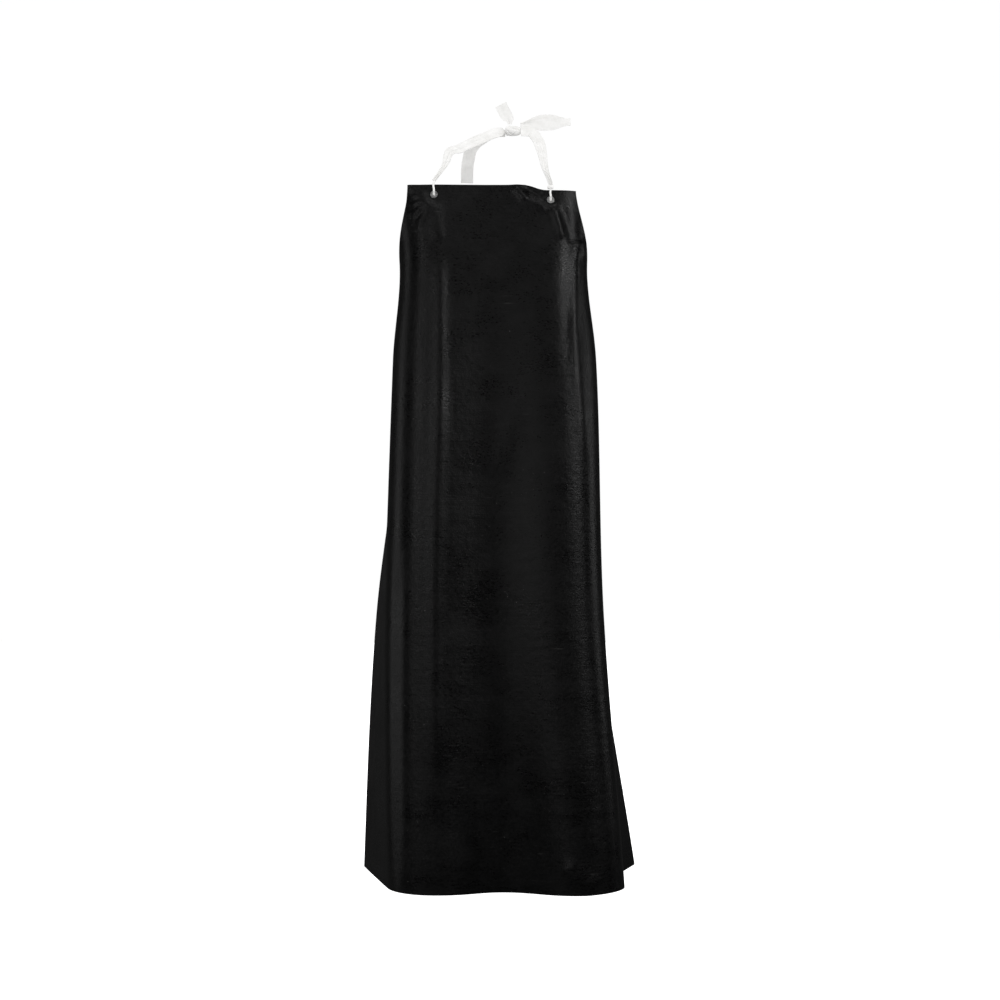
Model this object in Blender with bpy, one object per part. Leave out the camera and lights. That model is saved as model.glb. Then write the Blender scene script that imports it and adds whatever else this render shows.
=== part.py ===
"""Lead rubber apron: a three-ply bib sheet hung by eyelets from a cotton tape tied in a bow.

Metres, +Z up. The wearer looks along -Y. The origin is the underside of the neck tie, at the
back of the neck, where the tie rests on the wearer or on a peg.
"""
import math

import bmesh
import bpy
import numpy as np
from mathutils import Matrix, Vector

# Flat pattern of the sheet
APRON_LENGTH = 1.20
APRON_WIDTH = 0.92
BIB_WIDTH = 0.292
ARMHOLE_DEPTH = 0.30
ARMHOLE_CURVE = 1.6

# Plies, and the gap kept between any two pieces
SKIN_THICKNESS = 0.0004
CORE_THICKNESS = 0.0008
CLEARANCE = 0.0003
SHEET_THICKNESS = 2 * SKIN_THICKNESS + CORE_THICKNESS + 2 * CLEARANCE

# How the sheet hangs around the wearer
TOP_EDGE = Vector((0.0, -0.095, -0.1065))
LEAN = math.radians(5.83)
CORNER_DROP = 0.010
CORNER_DROP_FROM = 0.055
CORNER_DROP_OVER = 0.040
FLARE_FROM = 0.28
FLARE_OVER = 0.12
COLUMNS = 36
BIB_ROWS = 7
SKIRT_ROWS = 9

# Eyelets: where they sit, and their sizes
NECK_EYELET_INSET = 0.045
NECK_EYELET_DROP = 0.018
WAIST_EYELET_INSET = 0.020
HOLE_RADIUS = 0.0035
BARREL_WALL = 0.0005
FLANGE_RADIUS = 0.0065
FLANGE_THICKNESS = 0.0005
LIP_RADIUS = 0.0052
ROUND_SIDES = 20

# Cotton tape
TAPE_WIDTH = 0.022
TAPE_THICKNESS = 0.0008
GATHERED_WIDTH = 0.007
GATHERED_THICKNESS = 0.0024
STRAND_DIAMETER = 0.0044
STAND_OFF = 0.006
HINGE_RISE = 0.003
FRONT_KNOT_RADIUS = 0.0045
STOPPER_RADIUS = 0.0058
STOPPER_LENGTH = 0.008
BOW_KNOT_CENTRE = Vector((0.036, 0.015, 0.010))
BOW_KNOT_SIZE = Vector((0.026, 0.018, 0.022))
KNOT_LEAD_IN = 0.007
LOOP_ROOT_HALF = 0.001
FLOP_GAP = 0.0008

# The plan of the sheet at five heights, from the bib's top to the hem. On each side it runs
# from the middle out to a ridge, then turns back around the wearer.
DRAPE_HEIGHTS = (0.0, ARMHOLE_DEPTH / 3, ARMHOLE_DEPTH, (ARMHOLE_DEPTH + APRON_LENGTH) / 2, APRON_LENGTH)
MIDDLE_X = (-0.001, 0.001, 0.004, 0.006, 0.018)
MIDDLE_Y = (0.0, -0.004, -0.008, -0.014, -0.018)
LEFT_SIDE = {
    "wave": (2, 3, 6, 14, 34),
    "ridge": (0.100, 0.095, 0.097, 0.101, 0.118),
    "turned": (0.220, 0.210, 0.231, 0.239, 0.238),
    "turn": (62, 86, 90, 82, 75.5),
    "flare": (0, 0, 0, 0, 0),
}
RIGHT_SIDE = {
    "wave": (2, 3, 6, 14, 32),
    "ridge": (0.100, 0.095, 0.100, 0.110, 0.138),
    "turned": (0.220, 0.213, 0.235, 0.238, 0.270),
    "turn": (62, 90, 98, 93, 100),
    "flare": (0, 0, 4, 6, 34),
}
ARC_STEP = 0.002

RUBBER = (0.012, 0.012, 0.013, 1.0)
LEAD_RUBBER = (0.060, 0.062, 0.066, 1.0)
STEEL = (0.72, 0.72, 0.70, 1.0)
COTTON = (0.78, 0.76, 0.71, 1.0)


def clear_scene():
    for item in list(bpy.data.objects):
        bpy.data.objects.remove(item, do_unlink=True)


def make_material(name, colour, roughness, metallic=0.0):
    material = bpy.data.materials.new(name)
    material.use_nodes = True
    shader = material.node_tree.nodes["Principled BSDF"]
    shader.inputs["Base Color"].default_value = colour
    shader.inputs["Roughness"].default_value = roughness
    shader.inputs["Metallic"].default_value = metallic
    material.diffuse_color = colour
    return material


def add_object(name, bm, material):
    bmesh.ops.recalc_face_normals(bm, faces=bm.faces)
    mesh = bpy.data.meshes.new(name)
    bm.to_mesh(mesh)
    bm.free()
    mesh.materials.append(material)
    piece = bpy.data.objects.new(name, mesh)
    bpy.context.scene.collection.objects.link(piece)
    return piece


# The sheet's surface

def ease(value):
    value = np.clip(value, 0.0, 1.0)
    return value * value * (3.0 - 2.0 * value)


def between_stations(values, height):
    """A smooth value at a height, from one value for each of the five heights."""
    heights = np.array(DRAPE_HEIGHTS)
    values = np.array(values, dtype=float)
    slopes = np.gradient(values, heights)
    low = int(np.clip(np.searchsorted(heights, height) - 1, 0, len(heights) - 2))
    span = heights[low + 1] - heights[low]
    t = (height - heights[low]) / span
    rise = values[low + 1] - values[low]
    bend = t * (1 - t) * ((1 - t) * (slopes[low] * span - rise) - t * (slopes[low + 1] * span - rise))
    return float(values[low] + rise * t + bend)


def half_width(height):
    across = (BIB_WIDTH / 2, APRON_WIDTH / 2)
    t = min(height / ARMHOLE_DEPTH, 1.0)
    curve = 1.0 - (1.0 - t ** ARMHOLE_CURVE) ** (1.0 / ARMHOLE_CURVE)
    return across[0] + (across[1] - across[0]) * curve


def side_plan(side, height, arc):
    """How far out and back the sheet is at each arc length from its middle."""
    ridge = between_stations(side["ridge"], height)
    turned = between_stations(side["turned"], height)
    wave = math.radians(between_stations(side["wave"], height))
    turn = math.radians(between_stations(side["turn"], height))
    flare = math.radians(between_stations(side["flare"], height))
    heading = -wave * np.sin(np.pi * np.clip(arc / ridge, 0.0, 1.0))
    heading = heading + turn * ease((arc - ridge) / (turned - ridge))
    heading = heading - flare * ease((arc - FLARE_FROM) / FLARE_OVER)
    out = np.concatenate([[0.0], np.cumsum(np.cos((heading[1:] + heading[:-1]) / 2)) * ARC_STEP])
    back = np.concatenate([[0.0], np.cumsum(np.sin((heading[1:] + heading[:-1]) / 2)) * ARC_STEP])
    return out, back


def plan(height, across):
    """X and Y of the upright sheet at a height, for signed arc lengths from its middle."""
    arc = np.arange(0.0, max(APRON_WIDTH, BIB_WIDTH) / 2 + 2 * ARC_STEP, ARC_STEP)
    x = np.zeros(len(across))
    y = np.zeros(len(across))
    for side, sign in ((LEFT_SIDE, -1.0), (RIGHT_SIDE, 1.0)):
        out, back = side_plan(side, height, arc)
        on_side = across * sign >= 0.0
        x[on_side] = sign * np.interp(np.abs(across[on_side]), arc, out)
        y[on_side] = np.interp(np.abs(across[on_side]), arc, back)
    return x + between_stations(MIDDLE_X, height), y + between_stations(MIDDLE_Y, height)


class Drape:
    """The hanging mid-surface, from distance down the sheet and signed distance across it."""

    def __init__(self):
        self.heights = np.linspace(0.0, APRON_LENGTH, 121)
        self.across = np.linspace(-APRON_WIDTH / 2, APRON_WIDTH / 2, 185)
        plans = [plan(height, self.across) for height in self.heights]
        self.x = np.array([p[0] for p in plans])
        self.y = np.array([p[1] for p in plans])
        shift = np.diff(self.x, axis=0) ** 2 + np.diff(self.y, axis=0) ** 2
        for row, height in enumerate(self.heights[:-1]):
            edge = half_width(height)
            shift[row] = np.interp(np.clip(self.across, -edge, edge), self.across, shift[row])
        fall = np.sqrt(np.diff(self.heights)[:, None] ** 2 - shift)
        self.z = -np.concatenate([np.zeros((1, len(self.across))), np.cumsum(fall, axis=0)])
        drop = CORNER_DROP * ease((self.across - CORNER_DROP_FROM) / CORNER_DROP_OVER)
        self.z = self.z - drop[None, :] * (1.0 - ease(self.heights / ARMHOLE_DEPTH))[:, None]

    def point(self, across, height):
        row = np.clip(height / APRON_LENGTH, 0.0, 1.0) * (len(self.heights) - 1)
        low = min(int(row), len(self.heights) - 2)
        t = row - low
        place = []
        for table in (self.x, self.y, self.z):
            line = table[low] * (1 - t) + table[low + 1] * t
            place.append(float(np.interp(across, self.across, line)))
        tilt = Matrix.Rotation(-LEAN, 3, "X")
        return TOP_EDGE + tilt @ Vector(place)

    def normal(self, across, height):
        step = 0.002
        right = self.point(across + step, height) - self.point(across - step, height)
        up = self.point(across, max(height - step, 0.0)) - self.point(across, height + step)
        return right.cross(up).normalized()


class SheetGrid:
    """The facets that the three plies share: rows and straight columns, cut off at the edges."""

    def __init__(self, drape):
        self.drape = drape
        t = np.linspace(0.0, 1.0, BIB_ROWS + 1)
        bib = ARMHOLE_DEPTH * (1.0 - (1.0 - t) ** ARMHOLE_CURVE)
        skirt = np.linspace(ARMHOLE_DEPTH, APRON_LENGTH, SKIRT_ROWS + 1)[1:]
        self.heights = np.concatenate([bib, skirt])
        self.columns = np.linspace(-APRON_WIDTH / 2, APRON_WIDTH / 2, COLUMNS + 1)

    def row(self, height):
        """Distances across one row: the two edges, and the columns well inside them."""
        reach = half_width(height)
        margin = APRON_WIDTH / COLUMNS / 4
        return [-reach] + [a for a in self.columns if abs(a) < reach - margin] + [reach]

    def on_facet(self, across, height):
        """The point of a flat facet, between two rows and two columns."""
        row = int(np.clip(np.searchsorted(self.heights, height) - 1, 0, len(self.heights) - 2))
        column = int(np.clip(np.searchsorted(self.columns, across) - 1, 0, COLUMNS - 1))
        top, bottom = self.heights[row], self.heights[row + 1]
        left, right = self.columns[column], self.columns[column + 1]
        down = (height - top) / (bottom - top)
        along = (across - left) / (right - left)
        upper_left, lower_right = self.drape.point(left, top), self.drape.point(right, bottom)
        if down > along:
            lower_left = self.drape.point(left, bottom)
            return upper_left + (lower_left - upper_left) * down + (lower_right - lower_left) * along
        upper_right = self.drape.point(right, top)
        return upper_left + (upper_right - upper_left) * along + (lower_right - upper_right) * down

    def seat(self, across, height):
        """The middle, outward normal and upward direction of the facets under an eyelet."""
        reach = FLANGE_RADIUS
        left = self.on_facet(across - reach, height)
        right = self.on_facet(across + reach, height)
        above = self.on_facet(across, height - reach)
        below = self.on_facet(across, height + reach)
        middle = (left + right + above + below + self.on_facet(across, height) * 4) / 8
        normal = (right - left).cross(above - below).normalized()
        up = above - below
        up = (up - normal * up.dot(normal)).normalized()
        return middle, normal, up


def join_rows(bm, upper, lower):
    """Triangles between two rows of (distance across, vertex), from left to right."""
    i = j = 0
    while i < len(upper) - 1 or j < len(lower) - 1:
        last_upper = i == len(upper) - 1
        last_lower = j == len(lower) - 1
        if not last_lower and (last_upper or lower[j + 1][0] <= upper[i + 1][0]):
            bm.faces.new((upper[i][1], lower[j][1], lower[j + 1][1]))
            j += 1
        else:
            bm.faces.new((upper[i][1], lower[j][1], upper[i + 1][1]))
            i += 1


def make_ply(name, grid, offset, thickness, material):
    """One layer of the sheet, with its middle at an offset from the drape's surface."""
    bm = bmesh.new()
    rows = []
    for height in grid.heights:
        row = []
        for across in grid.row(height):
            place = grid.drape.point(across, height) + grid.drape.normal(across, height) * offset
            row.append((across, bm.verts.new(place)))
        rows.append(row)
    for upper, lower in zip(rows, rows[1:]):
        join_rows(bm, upper, lower)
    ply = add_object(name, bm, material)
    ply.data.shade_smooth()
    solidify = ply.modifiers.new("thickness", "SOLIDIFY")
    solidify.thickness = thickness
    solidify.offset = 0.0
    return ply


def cut_holes(ply, cutters):
    for cutter in cutters:
        hole = ply.modifiers.new("hole for " + cutter.name, "BOOLEAN")
        hole.operation = "DIFFERENCE"
        hole.solver = "EXACT"
        hole.object = cutter


# Round metal pieces

def turned(name, profile, material):
    """A closed ring turned about Z, from (radius, height) points listed anticlockwise."""
    bm = bmesh.new()
    rings = []
    for step in range(ROUND_SIDES):
        angle = math.tau * step / ROUND_SIDES
        ring = [bm.verts.new((r * math.cos(angle), r * math.sin(angle), z)) for r, z in profile]
        rings.append(ring)
    for here, there in zip(rings, rings[1:] + rings[:1]):
        for low in range(len(profile)):
            high = (low + 1) % len(profile)
            bm.faces.new((here[low], there[low], there[high], here[high]))
    piece = add_object(name, bm, material)
    piece.data.shade_smooth()
    piece.data.set_sharp_from_angle(angle=math.radians(40))
    return piece


def hole_cutter(name):
    bm = bmesh.new()
    radius = HOLE_RADIUS + BARREL_WALL + CLEARANCE
    bmesh.ops.create_cone(bm, cap_ends=True, segments=ROUND_SIDES, radius1=radius, radius2=radius,
                          depth=6 * SHEET_THICKNESS)
    cutter = add_object(name, bm, bpy.data.materials["skin_rubber"])
    cutter.hide_render = True
    cutter.display_type = "WIRE"
    return cutter


def grommet(name):
    """The front half of an eyelet: flange, barrel and the lip that is rolled over the washer."""
    face = SHEET_THICKNESS / 2 + CLEARANCE
    crown = face + FLANGE_THICKNESS
    washer_back = -face - FLANGE_THICKNESS
    lip_front = washer_back - CLEARANCE
    lip_back = lip_front - FLANGE_THICKNESS
    barrel = HOLE_RADIUS + BARREL_WALL
    edge = FLANGE_THICKNESS / 2
    profile = [
        (HOLE_RADIUS, lip_back), (LIP_RADIUS, lip_back), (LIP_RADIUS, lip_front), (barrel, lip_front),
        (barrel, face), (FLANGE_RADIUS, face), (FLANGE_RADIUS, face + edge),
        (FLANGE_RADIUS - edge, crown), (HOLE_RADIUS + edge, crown), (HOLE_RADIUS, face + edge),
    ]
    return turned(name, profile, bpy.data.materials["eyelet_steel"])


def washer(name):
    face = -SHEET_THICKNESS / 2 - CLEARANCE
    hole = HOLE_RADIUS + BARREL_WALL + CLEARANCE
    profile = [
        (hole, face - FLANGE_THICKNESS), (FLANGE_RADIUS, face - FLANGE_THICKNESS),
        (FLANGE_RADIUS, face), (hole, face),
    ]
    return turned(name, profile, bpy.data.materials["washer_steel"])


def frame_matrix(place, normal, up):
    """Local Z along the sheet's normal and local Y up the sheet."""
    side = up.cross(normal).normalized()
    rotation = Matrix((side, up, normal)).transposed().to_4x4()
    return Matrix.Translation(place) @ rotation


# Cotton tape

def smooth_route(points, steps):
    """Points of a smooth curve through the route's own points."""
    lengths = [(there - here).length for here, there in zip(points, points[1:])]
    speeds = [(there - here) / length for here, there, length in zip(points, points[1:], lengths)]
    tangents = [speeds[0]]
    for before, after, speed, next_speed in zip(lengths, lengths[1:], speeds, speeds[1:]):
        tangents.append((speed * after + next_speed * before) / (before + after))
    tangents.append(speeds[-1])
    route = []
    for index, length in enumerate(lengths):
        start, end = points[index], points[index + 1]
        out, into = tangents[index] * length, tangents[index + 1] * length
        for step in range(steps):
            t = step / steps
            route.append(start * (1 + 2 * t) * (1 - t) ** 2 + end * (3 - 2 * t) * t * t
                         + out * t * (1 - t) ** 2 - into * t * t * (1 - t))
    return route + [points[-1]]


def ribbon(name, route, facing, material, gathered=(False, False), bunched=TAPE_THICKNESS, broad=None):
    """A flat tape along a route, with its flat side facing one way or its width along broad."""
    count = len(route)
    gather_over = 0.25
    bm = bmesh.new()
    sections = []
    for index, place in enumerate(route):
        along = (route[min(index + 1, count - 1)] - route[max(index - 1, 0)]).normalized()
        across = along.cross(facing).normalized() if broad is None else broad
        outward = across.cross(along).normalized()
        share = index / (count - 1)
        open_start = float(ease(share / gather_over)) if gathered[0] else 1.0
        open_end = float(ease((1 - share) / gather_over)) if gathered[1] else 1.0
        spread = min(open_start, open_end)
        wide = GATHERED_WIDTH + (TAPE_WIDTH - GATHERED_WIDTH) * spread
        thick = bunched + (TAPE_THICKNESS - bunched) * spread
        corners = ((-1, -1), (1, -1), (1, 1), (-1, 1))
        sections.append([bm.verts.new(place + across * (wide / 2 * a) + outward * (thick / 2 * b))
                         for a, b in corners])
    for here, there in zip(sections, sections[1:]):
        for low in range(4):
            high = (low + 1) % 4
            bm.faces.new((here[low], here[high], there[high], there[low]))
    bm.faces.new(sections[0][::-1])
    bm.faces.new(sections[-1])
    bmesh.ops.triangulate(bm, faces=bm.faces, quad_method="FIXED")
    piece = add_object(name, bm, material)
    piece.data.shade_smooth()
    piece.data.set_sharp_from_angle(angle=math.radians(50))
    return piece


def tube(name, route, diameter, material):
    curve = bpy.data.curves.new(name, "CURVE")
    curve.dimensions = "3D"
    curve.bevel_depth = diameter / 2
    curve.bevel_resolution = 2
    curve.use_fill_caps = True
    spline = curve.splines.new("POLY")
    spline.points.add(len(route) - 1)
    for point, place in zip(spline.points, route):
        point.co = (*place, 1.0)
    curve.materials.append(material)
    piece = bpy.data.objects.new(name, curve)
    bpy.context.scene.collection.objects.link(piece)
    return piece


def rounded_lump(name, size, material):
    bm = bmesh.new()
    bmesh.ops.create_uvsphere(bm, u_segments=14, v_segments=9, radius=0.5)
    bmesh.ops.scale(bm, vec=size, verts=bm.verts)
    piece = add_object(name, bm, material)
    piece.data.shade_smooth()
    return piece


def rounded_block(name, size, material):
    bm = bmesh.new()
    bmesh.ops.create_cube(bm, size=1.0)
    bmesh.ops.scale(bm, vec=size, verts=bm.verts)
    piece = add_object(name, bm, material)
    rounding = piece.modifiers.new("rounding", "BEVEL")
    rounding.width = min(size) / 3
    rounding.segments = 3
    piece.data.shade_smooth()
    return piece


def empty_at(name, place):
    empty = bpy.data.objects.new(name, None)
    empty.empty_display_size = 0.03
    empty.location = place
    bpy.context.scene.collection.objects.link(empty)
    return empty


def hang_on(empty, piece):
    piece.parent = empty
    piece.matrix_parent_inverse = Matrix.Translation(empty.location).inverted()


def eyelet_places():
    waist_across = APRON_WIDTH / 2 - WAIST_EYELET_INSET
    waist_height = ARMHOLE_DEPTH + WAIST_EYELET_INSET
    neck_across = BIB_WIDTH / 2 - NECK_EYELET_INSET
    return {
        "neck_left": (-neck_across, NECK_EYELET_DROP),
        "neck_right": (neck_across, NECK_EYELET_DROP),
        "waist_left": (-waist_across, waist_height),
        "waist_right": (waist_across, waist_height),
    }


def make_sheet(grid, hinge):
    """The three plies with their four eyelets, all carried by the hinge."""
    skin = make_material("skin_rubber", RUBBER, 0.38)
    back = make_material("backing_rubber", RUBBER, 0.5)
    core = make_material("lead_rubber", LEAD_RUBBER, 0.6)
    make_material("eyelet_steel", STEEL, 0.25, 1.0)
    make_material("washer_steel", STEEL, 0.35, 1.0)
    skin_offset = CORE_THICKNESS / 2 + CLEARANCE + SKIN_THICKNESS / 2
    plies = [
        make_ply("front_skin", grid, skin_offset, SKIN_THICKNESS, skin),
        make_ply("shielding_core", grid, 0.0, CORE_THICKNESS, core),
        make_ply("back_skin", grid, -skin_offset, SKIN_THICKNESS, back),
    ]
    cutters = []
    for place, (across, height) in eyelet_places().items():
        seat = frame_matrix(*grid.seat(across, height))
        cutter = hole_cutter("cutter_" + place)
        cutter.matrix_world = seat
        cutters.append(cutter)
        for piece in (grommet("grommet_" + place), washer("washer_" + place)):
            piece.matrix_world = seat
            hang_on(hinge, piece)
    for ply in plies:
        cut_holes(ply, cutters)
        hang_on(hinge, ply)


def hinge_point(grid, side):
    """Where the tie bends as the bib swings, just above the bib's top edge and in front of it."""
    across, height = eyelet_places()["neck_" + side]
    middle, normal, up = grid.seat(across, height)
    return middle + normal * STAND_OFF + up * (height + HINGE_RISE)


def make_strand(grid, side, hinge, top_gap, material):
    """Tape gathered into a strand, from the hinge down and back through the eyelet."""
    across, height = eyelet_places()["neck_" + side]
    middle, normal, up = grid.seat(across, height)
    bend = STAND_OFF - HOLE_RADIUS / 2
    rise = height + HINGE_RISE - top_gap
    behind = SHEET_THICKNESS / 2 + 3 * FLANGE_THICKNESS + 2 * CLEARANCE
    route = [middle + normal * STAND_OFF + up * rise,
             middle + normal * STAND_OFF + up * (rise + bend) / 2]
    for step in range(7):
        angle = math.pi / 2 * step / 6
        out = STAND_OFF - bend + bend * math.cos(angle)
        route.append(middle + normal * out + up * bend * (1 - math.sin(angle)))
    route.append(middle)
    route.append(middle - normal * behind)
    strand = tube("strand_" + side, route, STRAND_DIAMETER, material)
    stopper = rounded_lump("stopper_knot_" + side,
                           (2 * STOPPER_RADIUS, 2 * STOPPER_RADIUS, STOPPER_LENGTH),
                           bpy.data.materials["stopper_cotton"])
    centre = middle - normal * (behind + CLEARANCE + STOPPER_LENGTH / 2)
    stopper.matrix_world = frame_matrix(centre, normal, up)
    hang_on(hinge, strand)
    hang_on(hinge, stopper)


def make_tie(grid, hinge, points):
    band_cotton = make_material("band_cotton", COTTON, 0.85)
    strand_cotton = make_material("strand_cotton", COTTON, 0.9)
    make_material("stopper_cotton", COTTON, 0.9)
    knot_cotton = make_material("knot_cotton", COTTON, 0.9)
    bow_cotton = make_material("bow_cotton", COTTON, 0.85)
    tail_cotton = make_material("tail_cotton", COTTON, 0.85)

    make_strand(grid, "left", hinge, 0.0, strand_cotton)
    make_strand(grid, "right", hinge, FRONT_KNOT_RADIUS + CLEARANCE, strand_cotton)
    front_knot = rounded_lump("front_knot_right", (0.011, 2 * FRONT_KNOT_RADIUS, 2 * FRONT_KNOT_RADIUS),
                              knot_cotton)
    front_knot.location = points["right"]
    hang_on(hinge, front_knot)

    knot = rounded_block("bow_knot", BOW_KNOT_SIZE, knot_cotton)
    knot.location = BOW_KNOT_CENTRE
    half = BOW_KNOT_SIZE / 2
    knot_left = BOW_KNOT_CENTRE.x - half.x
    knot_right = BOW_KNOT_CENTRE.x + half.x
    knot_top = BOW_KNOT_CENTRE.z + half.z

    lift = Vector((0.12, 0.40, 0.91)).normalized()
    start = points["left"] + lift * (STRAND_DIAMETER / 2 + 2 * CLEARANCE)
    left_points = [
        start, Vector((-0.083, -0.087, -0.070)), Vector((-0.075, -0.065, -0.043)),
        Vector((-0.060, -0.045, -0.034)), Vector((-0.0195, -0.008, -0.008)),
        Vector((knot_left - KNOT_LEAD_IN, 0.012, 0.008)), Vector((knot_left - CLEARANCE, 0.012, 0.008)),
    ]
    ribbon("neck_band_left", smooth_route(left_points, 4), Vector((-0.2, -1.0, 0.3)), band_cotton,
           gathered=(True, True), bunched=GATHERED_THICKNESS)
    start = points["right"] + lift * (FRONT_KNOT_RADIUS + 2 * CLEARANCE)
    right_points = [
        start, Vector((0.092, -0.060, -0.070)), Vector((0.086, -0.022, -0.030)),
        Vector((0.079, 0.002, -0.006)), Vector((0.069, 0.010, 0.007)),
        Vector((knot_right + KNOT_LEAD_IN, 0.010, 0.009)), Vector((knot_right + CLEARANCE, 0.010, 0.009)),
    ]
    ribbon("neck_band_right", smooth_route(right_points, 4), Vector((0.3, -1.0, 0.5)), band_cotton,
           gathered=(True, True), bunched=GATHERED_THICKNESS)

    loop_hinge = empty_at("loop_hinge", (knot_right + FLOP_GAP, 0.0225, 0.026))
    root = loop_hinge.location.copy()
    side = Vector((0.0, LOOP_ROOT_HALF - TAPE_THICKNESS / 2, 0.0))
    loop_points = [
        root - side, root + Vector((0.020, -0.003, 0.0)), root + Vector((0.055, -0.006, 0.0)),
        root + Vector((0.084, -0.004, 0.0)), root + Vector((0.0905, 0.0015, 0.0)),
        root + Vector((0.084, 0.007, 0.0)), root + Vector((0.055, 0.009, 0.0)),
        root + Vector((0.020, 0.005, 0.0)), root + side,
    ]
    loop = ribbon("bow_loop", smooth_route(loop_points, 3), None, bow_cotton, broad=Vector((0.0, 0.0, 1.0)))
    hang_on(loop_hinge, loop)

    upright_hinge = empty_at("upright_tail_hinge", (0.030, 0.012, knot_top + FLOP_GAP))
    root = upright_hinge.location.copy()
    upright_points = [root, root + Vector((0.0, 0.0, 0.006)), root + Vector((-0.007, 0.001, 0.018)),
                      root + Vector((-0.016, -0.001, 0.035))]
    upright = ribbon("upright_tail", smooth_route(upright_points, 3), Vector((0.0, -1.0, 0.0)), tail_cotton,
                     gathered=(True, False))
    hang_on(upright_hinge, upright)

    hanging_hinge = empty_at("hanging_tail_hinge", (knot_left - FLOP_GAP, 0.022, 0.004))
    root = hanging_hinge.location.copy()
    hanging_points = [
        root, root - Vector((0.008, 0.0, 0.0)), Vector((-0.012, 0.022, -0.007)),
        Vector((-0.036, 0.022, -0.020)), Vector((-0.045, 0.022, -0.046)), Vector((-0.047, 0.022, -0.083)),
    ]
    hanging = ribbon("hanging_tail", smooth_route(hanging_points, 4), Vector((0.0, -1.0, 0.0)), tail_cotton,
                     gathered=(True, False))
    hang_on(hanging_hinge, hanging)


def main():
    clear_scene()
    grid = SheetGrid(Drape())
    points = {side: hinge_point(grid, side) for side in ("left", "right")}
    hinge = empty_at("bib_hinge", (points["left"] + points["right"]) / 2)
    make_sheet(grid, hinge)
    make_tie(grid, hinge, points)


main()
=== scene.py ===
"""Looks of the lead rubber apron: black rubber sheet, bright eyelets and a white cotton tape tie.

Metres, in the CAD frame: the apron's front faces -Y and +Z is up.
"""

import math

import bmesh
import bpy
import numpy as np
from mathutils import Matrix, Vector, geometry


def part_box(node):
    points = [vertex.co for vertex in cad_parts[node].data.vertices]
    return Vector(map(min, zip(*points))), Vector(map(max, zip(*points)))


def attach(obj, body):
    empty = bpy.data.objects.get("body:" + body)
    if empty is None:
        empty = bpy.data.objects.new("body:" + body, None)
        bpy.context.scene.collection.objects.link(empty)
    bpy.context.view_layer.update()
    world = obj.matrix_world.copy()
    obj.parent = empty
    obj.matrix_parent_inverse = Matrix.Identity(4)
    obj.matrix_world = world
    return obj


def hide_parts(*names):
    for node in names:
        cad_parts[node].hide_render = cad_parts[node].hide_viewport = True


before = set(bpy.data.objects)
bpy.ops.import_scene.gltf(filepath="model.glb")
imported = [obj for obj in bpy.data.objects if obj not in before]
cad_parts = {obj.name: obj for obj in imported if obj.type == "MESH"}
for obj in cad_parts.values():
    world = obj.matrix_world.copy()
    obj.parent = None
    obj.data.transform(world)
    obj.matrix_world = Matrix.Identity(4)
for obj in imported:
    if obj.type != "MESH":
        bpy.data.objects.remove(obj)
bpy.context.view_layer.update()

# Flat pattern of the sheet, as in the CAD
APRON_LENGTH = 1.20
APRON_WIDTH = 0.92
BIB_WIDTH = 0.292
ARMHOLE_DEPTH = 0.30
ARMHOLE_CURVE = 1.6
# Thickness of each layer of the sheet, and of the gap between the layers, in metres
SKIN_THICKNESS = 0.0004
CORE_THICKNESS = 0.0008
PLY_GAP = 0.0003
SHEET_THICKNESS = 2 * SKIN_THICKNESS + CORE_THICKNESS + 2 * PLY_GAP

# How the sheet hangs, as in the CAD
TOP_EDGE = np.array((0.0, -0.095, -0.1065))
LEAN = math.radians(5.83)
CORNER_DROP = 0.010
CORNER_DROP_FROM = 0.055
CORNER_DROP_OVER = 0.040
FLARE_FROM = 0.28
FLARE_OVER = 0.12
DRAPE_HEIGHTS = (0.0, ARMHOLE_DEPTH / 3, ARMHOLE_DEPTH, (ARMHOLE_DEPTH + APRON_LENGTH) / 2, APRON_LENGTH)
MIDDLE_X = (-0.001, 0.001, 0.004, 0.006, 0.018)
MIDDLE_Y = (0.0, -0.004, -0.008, -0.014, -0.018)
LEFT_SIDE = {
    "wave": (2, 3, 6, 14, 34),
    "ridge": (0.100, 0.095, 0.097, 0.101, 0.118),
    "turned": (0.220, 0.210, 0.231, 0.239, 0.238),
    "turn": (62, 86, 90, 82, 75.5),
    "flare": (0, 0, 0, 0, 0),
}
RIGHT_SIDE = {
    "wave": (2, 3, 6, 14, 32),
    "ridge": (0.100, 0.095, 0.100, 0.110, 0.138),
    "turned": (0.220, 0.213, 0.235, 0.238, 0.270),
    "turn": (62, 90, 98, 93, 100),
    "flare": (0, 0, 4, 6, 34),
}
ARC_STEP = 0.001
TABLE_ROWS = 241
TABLE_COLUMNS = 185

# Eyelets
NECK_EYELET_INSET = 0.045
NECK_EYELET_DROP = 0.018
WAIST_EYELET_INSET = 0.020
EYELET_HOLE = 0.0044
EYELET_CROWN = SHEET_THICKNESS / 2 + PLY_GAP + 0.0005
FLANGE_FROM = 0.0062
EYELET_FLAT = 0.008
EYELET_FLAT_OVER = 0.014

# Cotton tape
TAPE_WIDTH = 0.022
TAPE_THICKNESS = 0.0009
STRAND_DIAMETER = 0.0036
IN_HOLE_RISE = 0.0014
PICK_SPACING = 0.0012
SELVEDGE_WIDTH = 0.0009
SELVEDGE_SWELL = 1.25
GATHERED_WIDTH = 0.007
# How square a drawn-tight knot is: 1 is round, and less is squarer
BOXINESS = 0.42

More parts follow.
